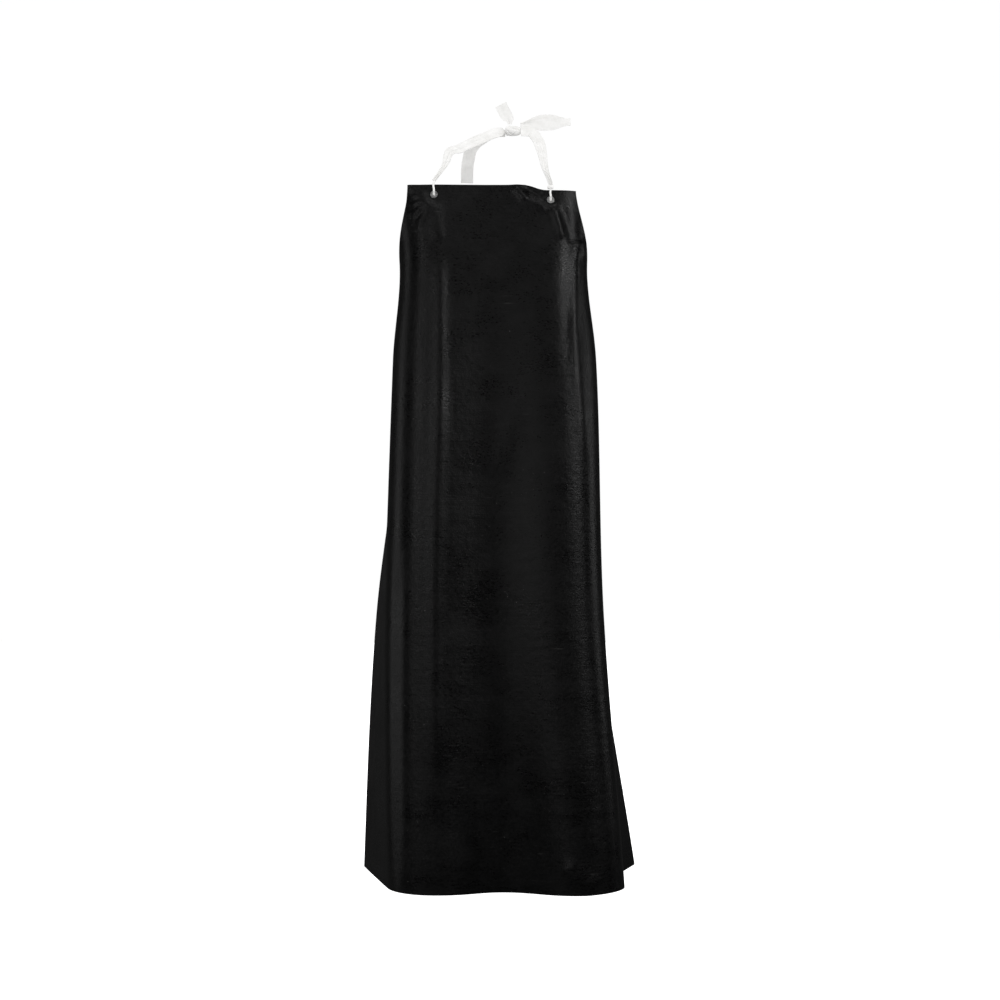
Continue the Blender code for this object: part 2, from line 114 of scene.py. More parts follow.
# Creases pressed into the sheet, in distance across and down it:
# (start, end, half width, height of the ridge, or depth of the valley if below zero)
CREASES = (
    ((0.104, 0.026), (0.122, 0.092), 0.0072, 0.0036),
    ((0.122, 0.030), (0.138, 0.100), 0.0085, -0.0018),
    ((0.156, 0.088), (0.164, 0.122), 0.0110, 0.0034),
    ((0.148, 0.100), (0.137, 0.270), 0.0058, 0.0026),
    ((0.136, 0.230), (0.154, 0.480), 0.0080, 0.0024),
    ((0.128, 0.125), (0.124, 0.330), 0.0090, -0.0010),
    ((0.038, 0.003), (0.060, 0.028), 0.0066, 0.0038),
    ((0.052, 0.028), (0.098, 0.032), 0.0074, 0.0022),
    ((0.058, 0.004), (0.092, 0.013), 0.0058, -0.0030),
    ((-0.106, 0.016), (-0.146, 0.024), 0.0036, 0.0024),
    ((-0.106, 0.020), (-0.146, 0.040), 0.0040, 0.0028),
    ((-0.105, 0.024), (-0.146, 0.060), 0.0044, 0.0026),
    ((-0.104, 0.028), (-0.132, 0.080), 0.0054, 0.0022),
    ((-0.100, 0.034), (-0.094, 0.105), 0.0110, 0.0020),
    ((-0.093, 0.120), (-0.095, 0.460), 0.0095, 0.0030),
    ((-0.095, 0.360), (-0.112, 1.060), 0.0115, 0.0034),
    ((-0.170, 0.640), (-0.190, 1.190), 0.0140, -0.0026),
    ((0.030, 0.400), (0.000, 0.520), 0.0200, 0.0014),
    ((-0.030, 0.130), (0.020, 0.180), 0.0240, 0.0010),
    ((0.110, 1.150), (0.160, 1.195), 0.0160, 0.0028),
)
CREASE_TAPER = 0.25
# How far a crease has already risen at its start, and has left to fall at its end
CREASE_AT_START = 0.35
CREASE_AT_END = 0.10

# Shipping fold: a faint line straight across the skirt
FOLD_HEIGHT = 1.070
FOLD_HALF_WIDTH = 0.0030
FOLD_RISE = 0.0003

# The left top corner curls outwards
CURL_FROM = 0.124
CURL_DEPTH = 0.034
CURL_RISE = 0.004
CURL_OVER = 0.022

# Mesh spacing
FINE = 0.0036
COARSE = 0.0065
FINE_UNTIL = 0.12
HOLE_RINGS = (1.0, 1.35, 1.75, 2.3)
HOLE_SIDES = 24
# Clearance of the grid from the cut edge and from the holes, as shares of its spacing
EDGE_SHARE = 0.6
HOLE_SHARE = 0.5
SLOPE_STEP = 1e-4
TINY = 1e-6
# Blender's triangulation that keeps to what the edges surround
INSIDE_EDGES = 1

# Finishes
DUST_COLOUR = (0.30, 0.30, 0.29, 1.0)
DUST_COVER = 0.3
DUST_ROUGHNESS = 0.2
RUBBER_SHINE = 0.34
RUBBER_GRAIN = 0.0009
RUBBER_GRAIN_STRENGTH = 0.9

# Camera, lights and floor
CAMERA_PLACE = (0.0128, -2.895, -0.5876)
CAMERA_LENS = 58.03
CAMERA_SENSOR = 36.0
CAMERA_SHIFT = -0.038
FLOOR_HEIGHT = -1.36
FLOOR_HALF = 4.0
# name, place, aim, size, watts
LIGHTS = (
    ("top front", (0.10, -1.7, 1.75), (0.0, -0.1, -0.2), (1.0, 0.6), 4.4),
    ("near left strip", (-0.62, -2.6, 0.15), (0.0, 0.0, -0.50), (0.18, 1.1), 1.2),
    ("left strip", (-1.45, -2.3, 0.20), (0.0, 0.0, -0.50), (0.16, 1.3), 4.0),
    ("high right", (1.40, -2.2, 0.75), (0.0, -0.1, -0.25), (0.28, 0.60), 9.0),
    ("right strip", (1.90, -1.9, 0.35), (0.0, 0.0, -0.25), (0.25, 0.8), 3.0),
    ("left side", (-2.3, 0.0, -0.45), (0.0, 0.0, -0.65), (0.7, 1.8), 3.6),
    ("right side", (2.3, 0.1, -0.20), (0.0, 0.0, -0.40), (0.5, 1.3), 3.4),
)
# World strength: in every ray, and added for what the camera sees and for soft fill
WORLD_BASE = 0.035
WORLD_BACKDROP = 0.97
WORLD_FILL = 0.82


# Camera

def make_camera():
    camera = bpy.data.objects.new("camera", bpy.data.cameras.new("camera"))
    camera.data.sensor_width = CAMERA_SENSOR
    camera.data.lens = CAMERA_LENS
    camera.data.shift_y = CAMERA_SHIFT
    camera.location = CAMERA_PLACE
    camera.rotation_euler = (math.radians(90), 0.0, 0.0)
    bpy.context.scene.collection.objects.link(camera)
    bpy.context.scene.camera = camera


# The sheet's surface

def ease(value):
    value = np.clip(value, 0.0, 1.0)
    return value * value * (3.0 - 2.0 * value)


def between_stations(values, height):
    """A smooth value at a height, from one value for each of the five heights."""
    heights = np.array(DRAPE_HEIGHTS)
    values = np.array(values, dtype=float)
    slopes = np.gradient(values, heights)
    low = int(np.clip(np.searchsorted(heights, height) - 1, 0, len(heights) - 2))
    span = heights[low + 1] - heights[low]
    t = (height - heights[low]) / span
    rise = values[low + 1] - values[low]
    bend = t * (1 - t) * ((1 - t) * (slopes[low] * span - rise) - t * (slopes[low + 1] * span - rise))
    return float(values[low] + rise * t + bend)


def half_width(height):
    t = np.minimum(height / ARMHOLE_DEPTH, 1.0)
    curve = 1.0 - (1.0 - t ** ARMHOLE_CURVE) ** (1.0 / ARMHOLE_CURVE)
    return BIB_WIDTH / 2 + (APRON_WIDTH - BIB_WIDTH) / 2 * curve


def side_plan(side, height, arc):
    """How far out and back the sheet is at each arc length from its middle."""
    ridge = between_stations(side["ridge"], height)
    turned = between_stations(side["turned"], height)
    wave = math.radians(between_stations(side["wave"], height))
    turn = math.radians(between_stations(side["turn"], height))
    flare = math.radians(between_stations(side["flare"], height))
    heading = -wave * np.sin(np.pi * np.clip(arc / ridge, 0.0, 1.0))
    heading = heading + turn * ease((arc - ridge) / (turned - ridge))
    heading = heading - flare * ease((arc - FLARE_FROM) / FLARE_OVER)
    out = np.concatenate([[0.0], np.cumsum(np.cos((heading[1:] + heading[:-1]) / 2)) * ARC_STEP])
    back = np.concatenate([[0.0], np.cumsum(np.sin((heading[1:] + heading[:-1]) / 2)) * ARC_STEP])
    return out, back


def plan(height, across):
    arc = np.arange(0.0, APRON_WIDTH / 2 + 6 * ARC_STEP, ARC_STEP)
    x = np.zeros(len(across))
    y = np.zeros(len(across))
    for side, sign in ((LEFT_SIDE, -1.0), (RIGHT_SIDE, 1.0)):
        out, back = side_plan(side, height, arc)
        on_side = across * sign >= 0.0
        x[on_side] = sign * np.interp(np.abs(across[on_side]), arc, out)
        y[on_side] = np.interp(np.abs(across[on_side]), arc, back)
    return x + between_stations(MIDDLE_X, height), y + between_stations(MIDDLE_Y, height)


def drape_table():
    """Places of the smooth sheet on a regular grid of distances down and across."""
    heights = np.linspace(0.0, APRON_LENGTH, TABLE_ROWS)
    across = np.linspace(-APRON_WIDTH / 2, APRON_WIDTH / 2, TABLE_COLUMNS)
    plans = [plan(height, across) for height in heights]
    x = np.array([p[0] for p in plans])
    y = np.array([p[1] for p in plans])
    shift = np.diff(x, axis=0) ** 2 + np.diff(y, axis=0) ** 2
    for row, height in enumerate(heights[:-1]):
        edge = half_width(height)
        shift[row] = np.interp(np.clip(across, -edge, edge), across, shift[row])
    fall = np.sqrt(np.diff(heights)[:, None] ** 2 - shift)
    z = -np.concatenate([np.zeros((1, len(across))), np.cumsum(fall, axis=0)])
    drop = CORNER_DROP * ease((across - CORNER_DROP_FROM) / CORNER_DROP_OVER)
    z = z - drop[None, :] * (1.0 - ease(heights / ARMHOLE_DEPTH))[:, None]
    tilt = np.array(Matrix.Rotation(-LEAN, 3, "X"))
    return TOP_EDGE + np.stack([x, y, z], axis=-1) @ tilt.T


def spread_weights(place, count):
    """The four table lines round each place, and their smooth weights."""
    low = np.clip(np.floor(place).astype(int), 0, count - 2)
    t = place - low
    weights = np.stack([
        -0.5 * t + t ** 2 - 0.5 * t ** 3, 1 - 2.5 * t ** 2 + 1.5 * t ** 3,
        0.5 * t + 2 * t ** 2 - 1.5 * t ** 3, -0.5 * t ** 2 + 0.5 * t ** 3,
    ], axis=-1)
    return low[:, None] + np.arange(4), weights


def on_drape(table, flat):
    """Places of flat points (across, down) on the smooth sheet."""
    padded = np.concatenate([2 * table[:1] - table[1:2], table, 2 * table[-1:] - table[-2:-1]])
    padded = np.concatenate([2 * padded[:, :1] - padded[:, 1:2], padded,
                             2 * padded[:, -1:] - padded[:, -2:-1]], axis=1)
    rows, row_weights = spread_weights(flat[:, 1] / APRON_LENGTH * (TABLE_ROWS - 1), TABLE_ROWS)
    columns, column_weights = spread_weights((flat[:, 0] / APRON_WIDTH + 0.5) * (TABLE_COLUMNS - 1),
                                             TABLE_COLUMNS)
    near = padded[rows[:, :, None], columns[:, None, :]]
    return np.einsum("nrcd,nr,nc->nd", near, row_weights, column_weights)


def drape_normals(table, flat):
    step = 0.002
    aside = np.array((step, 0.0))
    down = np.array((0.0, step))
    right = on_drape(table, flat + aside) - on_drape(table, flat - aside)
    up = on_drape(table, flat - down) - on_drape(table, flat + down)
    normal = np.cross(right, up)
    return normal / np.linalg.norm(normal, axis=1)[:, None]


def crease_rise(flat):
    """How far creases, the shipping fold and the curled corner lift the sheet."""
    rise = np.zeros(len(flat))
    for start, end, half, height in CREASES:
        start, end = np.array(start), np.array(end)
        along = np.dot(flat - start, end - start) / np.dot(end - start, end - start)
        inside = np.clip(along, 0.0, 1.0)
        distance = np.linalg.norm(flat - (start + inside[:, None] * (end - start)), axis=1)
        taper = ease(inside / CREASE_TAPER + CREASE_AT_START)
        taper = taper * ease((1 - inside) / CREASE_TAPER + CREASE_AT_END)
        rise += height * taper * np.exp(-(distance / half) ** 2)
    rise += FOLD_RISE * np.exp(-((flat[:, 1] - FOLD_HEIGHT) / FOLD_HALF_WIDTH) ** 2)
    curl = ease((-flat[:, 0] - CURL_FROM) / CURL_OVER) * ease(1.0 - flat[:, 1] / CURL_DEPTH)
    return rise + CURL_RISE * curl


def eyelet_places():
    waist_across = APRON_WIDTH / 2 - WAIST_EYELET_INSET
    waist_down = ARMHOLE_DEPTH + WAIST_EYELET_INSET
    neck_across = BIB_WIDTH / 2 - NECK_EYELET_INSET
    return {
        "neck_left": (-neck_across, NECK_EYELET_DROP),
        "neck_right": (neck_across, NECK_EYELET_DROP),
        "waist_left": (-waist_across, waist_down),
        "waist_right": (waist_across, waist_down),
    }


def eyelet_seat(place):
    """The middle and outward normal of the sheet under an eyelet, from its CAD ring."""
    ring = np.array([v.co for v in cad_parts["grommet_" + place].data.vertices])
    middle = ring.mean(axis=0)
    axis = np.linalg.svd(ring - middle)[2][2]
    flange = ring[np.linalg.norm(np.cross(ring - middle, axis), axis=1) > FLANGE_FROM]
    if np.dot(flange.mean(axis=0) - middle, axis) < 0.0:
        axis = -axis
    crown = np.max((ring - middle) @ axis)
    return middle + axis * (crown - EYELET_CROWN), axis


def sheet_places(flat):
    """Places of flat points on the creased sheet, pressed flat under each eyelet."""
    table = drape_table()
    places = on_drape(table, flat) + drape_normals(table, flat) * crease_rise(flat)[:, None]
    for name, centre in eyelet_places().items():
        middle, axis = eyelet_seat(name)
        here = on_drape(table, np.array([centre]))[0]
        reach = np.linalg.norm(flat - np.array(centre), axis=1)
        held = 1.0 - ease((reach - EYELET_FLAT) / EYELET_FLAT_OVER)
        moved = places + (middle - here)
        moved = moved - np.outer((moved - middle) @ axis, axis)
        places = places + (moved - places) * held[:, None]
    return places


# The sheet's mesh

def outline():
    """The cut edge all the way round, armholes included."""
    down = []
    height = 0.0
    while height < ARMHOLE_DEPTH - TINY:
        down.append(height)
        ahead = half_width(min(height + SLOPE_STEP, ARMHOLE_DEPTH))
        slope = (ahead - half_width(height)) / SLOPE_STEP
        height += (FINE if height < FINE_UNTIL else COARSE) / math.hypot(1.0, slope)
    down.append(ARMHOLE_DEPTH)
    down += list(np.linspace(ARMHOLE_DEPTH, APRON_LENGTH, int((APRON_LENGTH - ARMHOLE_DEPTH) / COARSE))[1:])
    right = [(float(half_width(h)), h) for h in down]
    hem = [(x, APRON_LENGTH) for x in np.linspace(APRON_WIDTH / 2, -APRON_WIDTH / 2,
                                                   int(APRON_WIDTH / COARSE))[1:-1]]
    left = [(-x, h) for x, h in reversed(right)]
    top = [(x, 0.0) for x in np.linspace(-BIB_WIDTH / 2, BIB_WIDTH / 2, int(BIB_WIDTH / FINE))[1:-1]]
    return right + hem + left + top


def inner_points():
    """Grid points inside the edge, close together round the bib's top and its eyelets."""
    rows = list(np.arange(FINE, FINE_UNTIL, FINE)) + list(np.arange(FINE_UNTIL, APRON_LENGTH, COARSE))
    centres = [np.array(c) for c in eyelet_places().values()]
    points = []
    for height in rows:
        if height > APRON_LENGTH - COARSE / 2:
            continue
        gap = FINE if height < FINE_UNTIL else COARSE
        reach = float(half_width(height)) - gap * EDGE_SHARE
        count = int(2 * reach / gap)
        for x in np.linspace(-reach, reach, count):
            place = np.array((x, height))
            clear = EYELET_HOLE * HOLE_RINGS[-1] + gap * HOLE_SHARE
            if min(np.linalg.norm(place - c) for c in centres) > clear:
                points.append((float(x), float(height)))
    return points


def enclosed(places, points, edges):
    """Which places the cut edges enclose: a line to one side crosses an odd number of edges."""
    crossed = np.zeros(len(places), dtype=int)
    for start, end in edges:
        x0, y0 = points[start]
        x1, y1 = points[end]
        if y0 == y1:
            continue
        spans = (places[:, 1] < y0) != (places[:, 1] < y1)
        reach = x0 + (places[:, 1] - y0) * (x1 - x0) / (y1 - y0)
        crossed += spans & (places[:, 0] < reach)
    return crossed % 2 == 1


def flat_mesh():
    """Triangles over the flat pattern, with a round hole for each eyelet."""
    edge = outline()
    points = [Vector(p) for p in edge]
    loops = [list(range(len(edge)))]
    for centre in eyelet_places().values():
        for ring, share in enumerate(HOLE_RINGS):
            first = len(points)
            for step in range(HOLE_SIDES):
                angle = math.tau * (step + 0.5 * (ring % 2)) / HOLE_SIDES
                points.append(Vector((centre[0] + EYELET_HOLE * share * math.cos(angle),
                                      centre[1] + EYELET_HOLE * share * math.sin(angle))))
            if ring == 0:
                loops.append(list(range(first, first + HOLE_SIDES)))
    points += [Vector(p) for p in inner_points()]
    edges = [(loop[i], loop[(i + 1) % len(loop)]) for loop in loops for i in range(len(loop))]
    verts, _, faces, *_ = geometry.delaunay_2d_cdt(points, edges, [], INSIDE_EDGES, TINY, False)
    flat = np.array([tuple(v) for v in verts])
    faces = np.array([tuple(f) for f in faces])
    # The armholes come back filled, so only the triangles inside the cut are kept
    faces = faces[enclosed(flat[faces].mean(axis=1), points, edges)]
    used, renumbered = np.unique(faces, return_inverse=True)
    return flat[used], [tuple(int(i) for i in f) for f in renumbered.reshape(-1, 3)]


def make_ply(name, flat, faces, offset, thickness, material, node):
    """One closed layer of the sheet, at an offset along the surface's own normals."""
    places = sheet_places(flat)
    corners = places[np.array(faces)]
    facing = np.cross(corners[:, 1] - corners[:, 0], corners[:, 2] - corners[:, 0])
    normals = np.zeros_like(places)
    for corner in range(3):
        np.add.at(normals, np.array(faces)[:, corner], facing)
    normals /= np.linalg.norm(normals, axis=1)[:, None]
    outward = drape_normals(drape_table(), flat)
    flipped = np.sum(normals * outward) < 0.0
    if flipped:
        normals = -normals
    count = len(places)
    front = places + normals * (offset + thickness / 2)
    back = places + normals * (offset - thickness / 2)
    order = [f[::-1] if flipped else f for f in faces]
    sides = {}
    for a, b, c in order:
        for pair in ((a, b), (b, c), (c, a)):
            sides[pair] = True
    rim = [pair for pair in sides if (pair[1], pair[0]) not in sides]
    polygons = order + [tuple(i + count for i in f[::-1]) for f in order]
    polygons += [(b, a, a + count, b + count) for a, b in rim]
    mesh = bpy.data.meshes.new(name)
    mesh.from_pydata(np.concatenate([front, back]).tolist(), [], polygons)
    pattern = mesh.attributes.new("pattern", "FLOAT_VECTOR", "POINT")
    both = np.concatenate([flat, flat])
    pattern.data.foreach_set("vector", np.column_stack([both, np.zeros(len(both))]).ravel())
    mesh.shade_smooth()
    mesh.set_sharp_from_angle(angle=math.radians(50))
    mesh.materials.append(material)
    ply = bpy.data.objects.new(name, mesh)
    bpy.context.scene.collection.objects.link(ply)
    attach(ply, "apron")
    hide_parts(node)
    return ply


# Shader node groups

def node_group(name, inputs, outputs):
    group = bpy.data.node_groups.new(name, "ShaderNodeTree")
    for label, kind, value in inputs:
        socket = group.interface.new_socket(label, in_out="INPUT", socket_type=kind)
        if value is not None:
            socket.default_value = value
    for label, kind in outputs:
        group.interface.new_socket(label, in_out="OUTPUT", socket_type=kind)
    return group, group.nodes.new("NodeGroupInput"), group.nodes.new("NodeGroupOutput")


def noise(tree, vector, scale, detail=4.0, roughness=0.55):
    node = tree.nodes.new("ShaderNodeTexNoise")
    node.inputs["Scale"].default_value = scale
    node.inputs["Detail"].default_value = detail
    node.inputs["Roughness"].default_value = roughness
    tree.links.new(vector, node.inputs["Vector"])
    return node.outputs["Fac"]


def maths(tree, operation, first, second=None, clamp=False):
    node = tree.nodes.new("ShaderNodeMath")
    node.operation = operation
    node.use_clamp = clamp
    for socket, value in zip(node.inputs, (first, second)):
        if value is None:
            continue
        if isinstance(value, (int, float)):
            socket.default_value = value
        else:
            tree.links.new(value, socket)
    return node.outputs[0]


def weighted(tree, *parts):
    """The sum of each value times its weight."""
    total = None
    for value, weight in parts:
        part = maths(tree, "MULTIPLY", value, weight)
        total = part if total is None else maths(tree, "ADD", total, part)
    return total


def stretched(tree, vector, scale):
    node = tree.nodes.new("ShaderNodeVectorMath")
    node.operation = "MULTIPLY"
    node.inputs[1].default_value = scale
    tree.links.new(vector, node.inputs[0])
    return node.outputs[0]


def above(tree, value, low, high):
    node = tree.nodes.new("ShaderNodeMapRange")
    node.inputs["From Min"].default_value = low
    node.inputs["From Max"].default_value = high
    tree.links.new(value, node.inputs["Value"])
    return node.outputs["Result"]


def mixed(tree, share, first, second):
    node = tree.nodes.new("ShaderNodeMix")
    node.data_type = "RGBA"
    for label, value in (("Factor", share), ("A", first), ("B", second)):
        socket = [s for s in node.inputs if s.name == label and s.enabled][0]
        if isinstance(value, bpy.types.NodeSocket):
            tree.links.new(value, socket)
        else:
            socket.default_value = value
    return [s for s in node.outputs if s.enabled][0]


def calender_group():
    """Streaks that run across the sheet, left by the rollers that made it."""
    group, given, made = node_group(
        "calendered rubber",
        [("Place", "NodeSocketVector", None), ("Streaks", "NodeSocketFloat", 0.5)],
        [("Height", "NodeSocketFloat"), ("Clouds", "NodeSocketFloat")])
    place = given.outputs["Place"]
    fine = noise(group, stretched(group, place, (9.0, 420.0, 1.0)), 1.0, 3.0)
    broad = noise(group, stretched(group, place, (5.0, 60.0, 1.0)), 1.0, 4.0)
    grain = noise(group, place, 430.0, 3.0, 0.7)
    mottle = noise(group, place, 95.0, 4.0, 0.65)
    drifts = noise(group, stretched(group, place, (9.0, 12.0, 1.0)), 1.0, 8.0, 0.72)
    flecks = noise(group, stretched(group, place, (170.0, 330.0, 1.0)), 1.0, 4.0, 0.75)
    clouds = weighted(group, (drifts, 0.48), (flecks, 0.52))
    streaks = maths(group, "MULTIPLY", weighted(group, (fine, 0.6), (broad, 0.8)), given.outputs["Streaks"])
    height = weighted(group, (streaks, 1.0), (grain, 0.34), (mottle, 0.80))
    group.links.new(height, made.inputs["Height"])
    group.links.new(clouds, made.inputs["Clouds"])
    return group


def dust_group():
    """Pale specks and short scratches, the dusting that new rubber carries."""
    group, given, made = node_group(
        "dust and scuffs", [("Place", "NodeSocketVector", None), ("Amount", "NodeSocketFloat", 1.0)],
        [("Mask", "NodeSocketFloat")])
    place = given.outputs["Place"]
    specks = above(group, noise(group, place, 330.0, 1.0), 0.735, 0.80)
    patches = above(group, noise(group, place, 11.0, 3.0), 0.46, 0.66)
    specks = maths(group, "MULTIPLY", specks, patches)
    lines = above(group, noise(group, stretched(group, place, (24.0, 620.0, 1.0)), 1.0, 1.0), 0.70, 0.78)
    areas = above(group, noise(group, place, 7.0, 2.0), 0.56, 0.70)
    scratches = maths(group, "MULTIPLY", maths(group, "MULTIPLY", lines, areas), 0.5)
    mask = maths(group, "MULTIPLY", maths(group, "ADD", specks, scratches), given.outputs["Amount"], True)
    group.links.new(mask, made.inputs["Mask"])
    return group


def placed(material, group, **values):
    node = material.node_tree.nodes.new("ShaderNodeGroup")
    node.node_tree = group
    for label, value in values.items():
        socket = node.inputs[label]
        if isinstance(value, bpy.types.NodeSocket):
            material.node_tree.links.new(value, socket)
        else:
            socket.default_value = value
    return node


def new_material(name):
    material = bpy.data.materials.new(name)
    material.use_nodes = True
    return material, material.node_tree, material.node_tree.nodes["Principled BSDF"]


def attribute(tree, name):
    node = tree.nodes.new("ShaderNodeAttribute")
    node.attribute_name = name
    return node.outputs["Vector"]


def add_bump(tree, shader, height, distance, strength=1.0):
    bump = tree.nodes.new("ShaderNodeBump")
    bump.inputs["Distance"].default_value = distance
    bump.inputs["Strength"].default_value = strength
    tree.links.new(height, bump.inputs["Height"])
    tree.links.new(bump.outputs["Normal"], shader.inputs["Normal"])


def rubber(name, groups, dark, pale, gloss, streaks, dust):
    """Calendered rubber, from a dark and a pale tone and a smooth and a rough finish."""
    material, tree, shader = new_material(name)
    place = attribute(tree, "pattern")
    rolled = placed(material, groups["calender"], Place=place, Streaks=streaks)
    dusted = placed(material, groups["dust"], Place=place, Amount=dust)
    clouds = above(tree, rolled.outputs["Clouds"], 0.42, 0.64)
    colour = mixed(tree, clouds, dark, pale)
    dusty = maths(tree, "MULTIPLY", dusted.outputs["Mask"], DUST_COVER)
    colour = mixed(tree, dusty, colour, DUST_COLOUR)
    tree.links.new(colour, shader.inputs["Base Color"])
    rough = maths(tree, "ADD", maths(tree, "MULTIPLY", clouds, gloss[1] - gloss[0]), gloss[0])
    rough = maths(tree, "ADD", rough, maths(tree, "MULTIPLY", dusted.outputs["Mask"], DUST_ROUGHNESS), True)
    tree.links.new(rough, shader.inputs["Roughness"])
    shader.inputs["Specular IOR Level"].default_value = RUBBER_SHINE
    add_bump(tree, shader, rolled.outputs["Height"], RUBBER_GRAIN, RUBBER_GRAIN_STRENGTH)
    return material


def plated_steel(name, groups, colour, gloss):
    """Nickel-plated steel with fine turning marks and faint tarnish."""
    material, tree, shader = new_material(name)
    place = tree.nodes.new("ShaderNodeTexCoord").outputs["Object"]
    dusted = placed(material, groups["dust"], Place=place, Amount=0.6)
    marks = noise(tree, place, 1100.0, 2.0)
    tarnish = noise(tree, place, 160.0, 3.0)
    dull = tuple(c * 0.72 for c in colour[:3]) + (1.0,)
    tree.links.new(mixed(tree, above(tree, tarnish, 0.40, 0.75), colour, dull), shader.inputs["Base Color"])
    rough = maths(tree, "ADD", maths(tree, "MULTIPLY", marks, 0.14), gloss)
    rough = maths(tree, "ADD", rough, maths(tree, "MULTIPLY", dusted.outputs["Mask"], DUST_ROUGHNESS), True)
    tree.links.new(rough, shader.inputs["Roughness"])
    shader.inputs["Metallic"].default_value = 1.0
    add_bump(tree, shader, marks, 0.00001, 0.4)
    return material


def weave_group():
    """Plain weave of cotton tape: warp along it, picks across it."""
    group, given, made = node_group(
        "plain weave", [("Place", "NodeSocketVector", None), ("Spacing", "NodeSocketFloat", PICK_SPACING)],
        [("Height", "NodeSocketFloat"), ("Soiling", "NodeSocketFloat")])
    place = given.outputs["Place"]
    split = group.nodes.new("ShaderNodeSeparateXYZ")
    group.links.new(place, split.inputs[0])
    turns = maths(group, "DIVIDE", math.tau, given.outputs["Spacing"])
    warp = maths(group, "SINE", maths(group, "MULTIPLY", split.outputs["X"], turns))
    pick = maths(group, "SINE", maths(group, "MULTIPLY", split.outputs["Y"], turns))
    fluff = noise(group, place, 1400.0, 2.0)
    cross = maths(group, "MULTIPLY", warp, pick)
    height = weighted(group, (cross, 0.35), (fluff, 0.6))
    group.links.new(height, made.inputs["Height"])
    group.links.new(noise(group, place, 45.0, 4.0), made.inputs["Soiling"])
    return group


def cotton(name, groups, clean, worn):
    material, tree, shader = new_material(name)
    place = attribute(tree, "pattern")
    woven = placed(material, groups["weave"], Place=place)
    soiling = above(tree, woven.outputs["Soiling"], 0.35, 0.75)
    tree.links.new(mixed(tree, soiling, clean, worn), shader.inputs["Base Color"])
    rough = maths(tree, "ADD", maths(tree, "MULTIPLY", soiling, 0.08), 0.86)
    tree.links.new(rough, shader.inputs["Roughness"])
    shader.inputs["Sheen Weight"].default_value = 0.25
    add_bump(tree, shader, woven.outputs["Height"], 0.00022, 0.6)
    return material


# Cotton tape

def smooth_route(points, steps):
    """Points of a smooth curve through the route's own points."""
    points = [Vector(p) for p in points]
    lengths = [(there - here).length for here, there in zip(points, points[1:])]
    speeds = [(there - here) / length for here, there, length in zip(points, points[1:], lengths)]
    tangents = [speeds[0]]
    for before, after, speed, next_speed in zip(lengths, lengths[1:], speeds, speeds[1:]):
        tangents.append((speed * after + next_speed * before) / (before + after))
    tangents.append(speeds[-1])
    route = []
    for index, length in enumerate(lengths):
        start, end = points[index], points[index + 1]
        out, into = tangents[index] * length, tangents[index + 1] * length
        for step in range(steps):
            t = step / steps
            route.append(start * (1 + 2 * t) * (1 - t) ** 2 + end * (3 - 2 * t) * t * t
                         + out * t * (1 - t) ** 2 - into * t * t * (1 - t))
    return route + [points[-1]]


def add_piece(name, verts, faces, pattern, material, body, node, smooth=60):
    mesh = bpy.data.meshes.new(name)
    mesh.from_pydata([tuple(v) for v in verts], [], faces)
    layer = mesh.attributes.new("pattern", "FLOAT_VECTOR", "POINT")
    layer.data.foreach_set("vector", np.array(pattern, dtype=float).ravel())
    mesh.shade_smooth()
    mesh.set_sharp_from_angle(angle=math.radians(smooth))
    mesh.materials.append(material)
    piece = bpy.data.objects.new(name, mesh)
    bpy.context.scene.collection.objects.link(piece)
    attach(piece, body)
    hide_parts(node)
    return piece


def tape_frames(route, facing, broad=None):
    """The tape's across and outward directions at each point of its route."""
    frames = []
    for index, place in enumerate(route):
        along = (route[min(index + 1, len(route) - 1)] - route[max(index - 1, 0)]).normalized()
        across = along.cross(Vector(facing)).normalized() if broad is None else Vector(broad)
        frames.append((place, across, across.cross(along).normalized()))
    return frames


def tape(name, frames, widths, pleats, material, body, node, columns=24, folds=1.6):
    """A flat woven tape with thicker selvedges. pleats is its folded depth at each point."""
    verts, pattern, faces = [], [], []
    travelled = 0.0
    count = len(frames)
    for index, (place, across, outward) in enumerate(frames):
        if index:
            travelled += (place - frames[index - 1][0]).length
        fold = pleats[index]
        for side in (1.0, -1.0):
            for column in range(columns + 1):
                share = column / columns - 0.5
                lift = fold * math.sin(share * folds * math.tau + 0.6 * math.sin(travelled * 60.0))
                edge = abs(share) * TAPE_WIDTH > TAPE_WIDTH / 2 - SELVEDGE_WIDTH
                half = TAPE_THICKNESS / 2 * (SELVEDGE_SWELL if edge else 1.0)
                verts.append(place + across * (widths[index] * share) + outward * (lift + side * half))
                pattern.append((share * TAPE_WIDTH, travelled, 0.0))
    ring = 2 * (columns + 1)
    for index in range(count - 1):
        here, there = index * ring, (index + 1) * ring
        for column in range(columns):
            a, b = column, column + 1
            faces.append((here + a, here + b, there + b, there + a))
            c = columns + 1
            faces.append((here + c + b, here + c + a, there + c + a, there + c + b))
        c = columns + 1
        faces.append((here, there, there + c, here + c))
        faces.append((here + columns, here + columns + c, there + columns + c, there + columns))
    for column in range(columns):
        c = columns + 1
        faces.append((column + 1, column, column + c, column + 1 + c))
        last = (count - 1) * ring
        faces.append((last + column, last + column + 1, last + column + 1 + c, last + column + c))
    piece = add_piece(name, verts, faces, pattern, material, body, node)
    turn_outwards(piece)
    return piece


